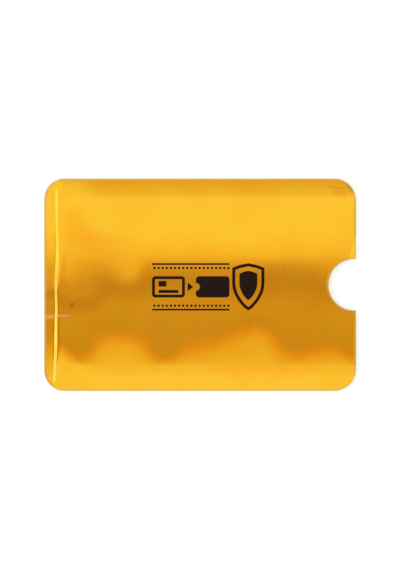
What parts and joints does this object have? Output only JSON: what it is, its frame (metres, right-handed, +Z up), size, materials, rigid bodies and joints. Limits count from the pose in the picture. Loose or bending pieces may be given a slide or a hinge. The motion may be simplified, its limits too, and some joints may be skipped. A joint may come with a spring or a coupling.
{
  "type": "foil card sleeve",
  "caption": "Flat foil sleeve for one payment card, folded from a laminate, glued along a rear lap seam, sealed at one end, with a thumb notch at its open end.",
  "frame": {"origin": "centre of the sleeve's outline on the surface that it lies on", "axes": "+X out of the open end with the thumb notch, +Y towards the upper folded edge as pictured, +Z up through the front face"},
  "size_m": [0.091, 0.062, 0.0015],
  "materials": {
    "gold_film": "metallic gloss",
    "foil": "bright",
    "paper": "matt",
    "liner": "satin",
    "glue": "satin",
    "ink": "satin print"
  },
  "bodies": {
    "root": {"film_front": "gold_film", "film_end": "gold_film", "film_upper_slope": "gold_film", "film_lower_slope": "gold_film", "film_upper_fold": "gold_film", "film_lower_fold": "gold_film", "film_inner_flap": "gold_film", "film_outer_flap": "gold_film", "foil_shield": "foil", "paper_core": "paper", "seal_liner": "liner", "lap_glue": "glue", "end_weld": "liner"}
  },
  "joints": []
}
